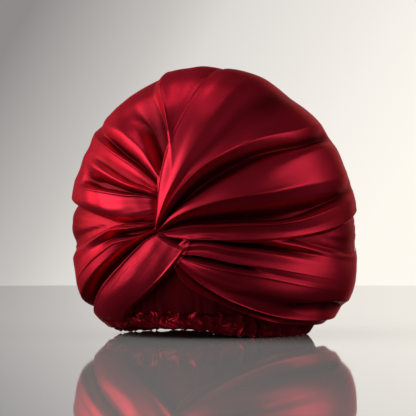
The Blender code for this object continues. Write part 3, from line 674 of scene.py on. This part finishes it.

# %% [markdown]
# ## Satin
# Satin is woven with long floats, so its threads lie side by side like hair and shine in their
# own colour. Sheen alone would look like velvet. A part metallic shader is nearer: its
# reflection takes the dye's red, and the cloth goes nearly black where it faces something
# dark. Shade is painted into the arms' base colour: it darkens the deep folds, where cloth sees
# mostly cloth. The cap and hem take darker copies of the red, which is painted shade too. Fine
# threads and small puckers are a bump on the cloth's own UV map.

# %% The satin
# Scale of a noise across and along the cloth, in waves to the metre, and its detail
THREADS, PUCKER_NOISE = ((2600.0, 240.0, 1.0), 3.0), ((110.0, 34.0, 1.0), 4.0)
BUMP = 0.16
# Random darker and lighter shares of the red, and the red's share under full painted fold shade
DARKER, LIGHTER, FOLD_SHADE = 0.86, 1.12, 0.22


def times(colour, share):
    """A colour times a number, with its alpha, for a socket."""
    return (*[min(1.0, share * part) for part in colour], 1.0)


def cloth_noise(tree, place, scale, detail):
    """Noise on the cloth's own UV map, stretched along the threads."""
    mapping, noise = tree.nodes.new("ShaderNodeMapping"), tree.nodes.new("ShaderNodeTexNoise")
    mapping.inputs["Scale"].default_value = scale
    noise.inputs["Scale"].default_value = 1.0
    noise.inputs["Detail"].default_value = detail
    tree.links.new(place.outputs["UV"], mapping.inputs["Vector"])
    tree.links.new(mapping.outputs["Vector"], noise.inputs["Vector"])
    return noise


def bump(tree, noise, height):
    """Bump of a height in metres from a noise."""
    made = tree.nodes.new("ShaderNodeBump")
    made.inputs["Strength"].default_value = BUMP
    made.inputs["Distance"].default_value = height
    tree.links.new(noise.outputs["Fac"], made.inputs["Height"])
    return made


def satin(name, colour, rough, metal=0.80):
    """Satin: a metallic share for the coloured sheen, threads as a bump along v, painted fold
    shade.
    """
    made = bpy.data.materials.new(name)
    made.use_nodes = True
    tree = made.node_tree
    nodes, links = tree.nodes, tree.links
    shader = nodes["Principled BSDF"]
    shader.inputs["Metallic"].default_value = metal
    shader.inputs["Specular IOR Level"].default_value = 0.3
    shader.inputs["Specular Tint"].default_value = (1.0, 0.12, 0.16, 1.0)
    place = nodes.new("ShaderNodeUVMap")
    place.uv_map = "cloth"
    weave, pucker = cloth_noise(tree, place, *THREADS), cloth_noise(tree, place, *PUCKER_NOISE)
    coarse, fine = bump(tree, pucker, 0.0012), bump(tree, weave, 0.0002)
    links.new(coarse.outputs["Normal"], fine.inputs["Normal"])
    links.new(fine.outputs["Normal"], shader.inputs["Normal"])
    tone, shade = nodes.new("ShaderNodeMix"), nodes.new("ShaderNodeMix")
    tone.data_type = shade.data_type = "RGBA"
    tone.inputs["A"].default_value = times(colour, DARKER)
    tone.inputs["B"].default_value = times(colour, LIGHTER)
    shade.inputs["B"].default_value = times(colour, FOLD_SHADE)
    # Painted shade: the base colour darkens in the deep folds of the arms
    folds = nodes.new("ShaderNodeAttribute")
    folds.attribute_name = "painted_shade"
    links.new(pucker.outputs["Fac"], tone.inputs["Factor"])
    links.new(tone.outputs["Result"], shade.inputs["A"])
    links.new(folds.outputs["Fac"], shade.inputs["Factor"])
    links.new(shade.outputs["Result"], shader.inputs["Base Color"])
    gloss = nodes.new("ShaderNodeMapRange")
    gloss.inputs["To Min"].default_value = rough - 0.05
    gloss.inputs["To Max"].default_value = rough + 0.05
    links.new(weave.outputs["Fac"], gloss.inputs["Value"])
    links.new(gloss.outputs["Result"], shader.inputs["Roughness"])
    print(name, "roughness", rough, "metallic", metal)
    return made


# %% One red, with darker copies of it painted as shade on the cap and hem
RED = (0.41, 0.013, 0.030)
arm_satin = satin("drape_satin", RED, rough=0.42)
# The cap and hem are the same satin; their darker reds are painted shade
cap_satin = satin("crown_satin", [0.64 * c for c in RED], rough=0.44)
hem_satin = satin("hem_satin", [0.85 * c for c in RED], rough=0.38)
for made in arms.values():
    made.data.materials.append(arm_satin)
cap.data.materials.append(cap_satin)
hem.data.materials.append(hem_satin)

# %% [markdown]
# ## What each piece stands for
# Each surface replaces one solid of the frame and stays with it, because the whole bonnet is
# one soft body that nothing turns or slides in.

# %% Pieces of the frame
STANDS_FOR = {
    "lower_right_arm": "lower_right_drape",
    "lower_left_arm": "lower_left_drape",
    "upper_left_arm": "upper_left_drape",
    "upper_right_arm": "upper_right_drape",
}
for name, node in STANDS_FOR.items():
    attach(arms[name], "root")
    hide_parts(node)
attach(cap, "root")
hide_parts("crown")
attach(hem, "root")
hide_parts("elastic_hem")

# %% [markdown]
# ## How big each sheet was cut
# Two strips of satin make the four arms: each is gathered to a finger's width at the twist and
# opens out to its full width at the seam. The cap is a gathered circle, and the hem a folded
# strip with the elastic inside, longer than the mouth is round. The sizes are estimates. Each
# was chosen when the model's area was known, so that the flat area is 15 to 25 percent larger,
# for the cloth that the gathers take up. The lower arms and the cap run farther on the model
# than their cuts reach, so a real pattern would need other sides.

# %% Flat sizes
for made in (*arms.values(), cap, hem):
    print(made.name, "area", round(sum(face.area for face in made.data.polygons), 4))

# %% [markdown]
# ## Table, backdrop and light
# The bonnet stands on a round, pale, lacquered table. Lacquer mirrors little from above and
# nearly all at a flat angle, as in the photograph, where it shows the far wall and the bonnet.
# The wall glows from grey at the left to cream at the right. One large soft light stands to the
# left and does most of the work. The rest of the room is dark, and satin mirrors that as deep
# red and black.

# %% The table and the wall
# The photograph looks from this angle to the left of the front
TURN = np.radians(22.0)
BACK = np.array([np.sin(TURN), -np.cos(TURN), 0.0])
RIGHT = np.array([np.cos(TURN), np.sin(TURN), 0.0])
UP = np.array([0.0, 0.0, 1.0])


TABLE_RADIUS, TABLE_EDGE, TABLE_THICK = 1.40, 0.012, 0.05


def table_top():
    """Round table: rings from the middle to the edge, which rolls over and down by a quarter."""
    bend = np.linspace(0.2, 1.57, 6)
    ring = np.concatenate([np.linspace(0.001, TABLE_RADIUS, 50),
                           TABLE_RADIUS + TABLE_EDGE * np.sin(bend), [TABLE_RADIUS + TABLE_EDGE]])
    drop = np.concatenate([np.zeros(50), -TABLE_EDGE * (1 - np.cos(bend)), [-TABLE_THICK]])
    turn = np.linspace(0, 2 * np.pi, 121)[:, None]
    points = np.stack([ring * np.cos(turn), ring * np.sin(turn), drop + 0 * turn], -1)
    points[..., 0] -= LEAN * (points[..., 2] - DROP)
    return points


def glow(name, stops):
    """Emission that runs through greys from the upper left to the lower right, for the wall."""
    made = bpy.data.materials.new(name)
    made.use_nodes = True
    nodes, links = made.node_tree.nodes, made.node_tree.links
    nodes.remove(nodes["Principled BSDF"])
    place, split = nodes.new("ShaderNodeTexCoord"), nodes.new("ShaderNodeVectorMath")
    split.operation = "DOT_PRODUCT"
    split.inputs[1].default_value = RIGHT - 0.6 * UP
    ramp, lamp = nodes.new("ShaderNodeValToRGB"), nodes.new("ShaderNodeEmission")
    span = nodes.new("ShaderNodeMapRange")
    span.inputs["From Min"].default_value, span.inputs["From Max"].default_value = -0.70, 0.32
    elements = ramp.color_ramp.elements
    elements[0].color, elements[1].color = (*stops[0][1:], 1), (*stops[-1][1:], 1)
    for position, *colour in stops[1:-1]:
        elements.new(position).color = (*colour, 1)
    links.new(place.outputs["Object"], split.inputs[0])
    links.new(split.outputs["Value"], span.inputs["Value"])
    links.new(span.outputs["Result"], ramp.inputs["Fac"])
    links.new(ramp.outputs["Color"], lamp.inputs["Color"])
    links.new(lamp.outputs["Emission"], nodes["Material Output"].inputs["Surface"])
    return made


def wall():
    """Flat wall four metres behind the bonnet, square to the camera."""
    side, height = np.linspace(-2.5, 2.5, 11), np.linspace(-1.2, 2.2, 8)
    points = side[:, None, None] * RIGHT - 4.0 * BACK + height[None, :, None] * UP
    points[..., 0] -= LEAN * (points[..., 2] - DROP)
    return points


floor = grid_mesh("table", table_top(), round_first=True)
floor.visible_glossy = floor.visible_diffuse = False
pale = bpy.data.materials.new("pale_table")
pale.use_nodes = True
shader = pale.node_tree.nodes["Principled BSDF"]
shader.inputs["Base Color"].default_value = (0.56, 0.55, 0.54, 1.0)
shader.inputs["Roughness"].default_value = 0.035
floor.data.materials.append(pale)
backdrop = grid_mesh("backdrop", wall())
backdrop.data.materials.append(glow("far_wall", [
    (0.0, 0.27, 0.26, 0.255), (0.29, 0.55, 0.53, 0.51), (0.42, 0.72, 0.69, 0.66),
    (0.80, 0.92, 0.88, 0.82), (1.0, 0.99, 0.95, 0.87),
]))
backdrop.visible_diffuse = False

# %% The lights
def soft_light(name, direction, distance, size, power):
    """Square area light at a distance in a direction, aimed at the bonnet's middle."""
    data = bpy.data.lights.new(name, "AREA")
    data.shape, data.size, data.energy = "SQUARE", size, power
    lamp = bpy.data.objects.new(name, data)
    bpy.context.scene.collection.objects.link(lamp)
    direction = Vector(direction).normalized()
    lamp.location = Vector((0, 0, 0.12)) + direction * distance
    lamp.rotation_euler = direction.to_track_quat("Z", "Y").to_euler()
    lamp.visible_camera = False
    print(name, "light of", power, "W")


soft_light("key", 0.02 * BACK - 1.0 * RIGHT + 0.35 * UP, 1.4, 1.7, 37)
soft_light("front", 1.0 * BACK - 0.50 * RIGHT + 0.45 * UP, 2.0, 1.3, 11)
soft_light("glint", -0.25 * BACK - 0.1 * RIGHT + 1.0 * UP, 1.3, 0.25, 1.6)
soft_light("side", 0.2 * BACK + 1.0 * RIGHT + 0.35 * UP, 1.6, 1.2, 9)

# %% The dark room
world = bpy.data.worlds.new("studio")
world.use_nodes = True
nodes, links = world.node_tree.nodes, world.node_tree.links
dim, seen = nodes["Background"], nodes.new("ShaderNodeBackground")
dim.inputs["Color"].default_value = (1.0, 0.97, 0.95, 1.0)
dim.inputs["Strength"].default_value = 0.035
seen.inputs["Color"].default_value = (0.74, 0.72, 0.69, 1.0)
ray, either = nodes.new("ShaderNodeLightPath"), nodes.new("ShaderNodeMixShader")
links.new(ray.outputs["Is Camera Ray"], either.inputs["Fac"])
links.new(dim.outputs["Background"], either.inputs[1])
links.new(seen.outputs["Background"], either.inputs[2])
links.new(either.outputs["Shader"], nodes["World Output"].inputs["Surface"])
bpy.context.scene.world = world
bpy.context.scene.view_settings.view_transform = "Standard"

# %% [markdown]
# ## The camera
# The photograph was taken from a little to the side of the front and almost level with the
# bonnet, from far away, so a long lens stands three metres off.

# %% The camera
DISTANCE, RISE_ANGLE, AIM_HEIGHT = 3.0, np.radians(0.5), 0.116
# The picture's side, the size of one of its pixels at the bonnet in metres, and the pixel
# column in which the bonnet's middle lies
PICTURE, PIXEL, MIDDLE = 416, 0.92e-3, 213.5
data = bpy.data.cameras.new("camera")
data.sensor_width = 36.0
data.lens = data.sensor_width * DISTANCE / (PICTURE * PIXEL)
data.shift_x = (PICTURE / 2 - MIDDLE) / PICTURE
camera = bpy.data.objects.new("camera", data)
bpy.context.scene.collection.objects.link(camera)
back = Vector(np.cos(RISE_ANGLE) * BACK + np.sin(RISE_ANGLE) * UP)
camera.location = Vector((0, 0, AIM_HEIGHT)) + back * DISTANCE
camera.rotation_euler = back.to_track_quat("Z", "Y").to_euler()
bpy.context.scene.camera = camera
print("camera", round(data.lens, 1), "mm, at", [round(part, 3) for part in camera.location])
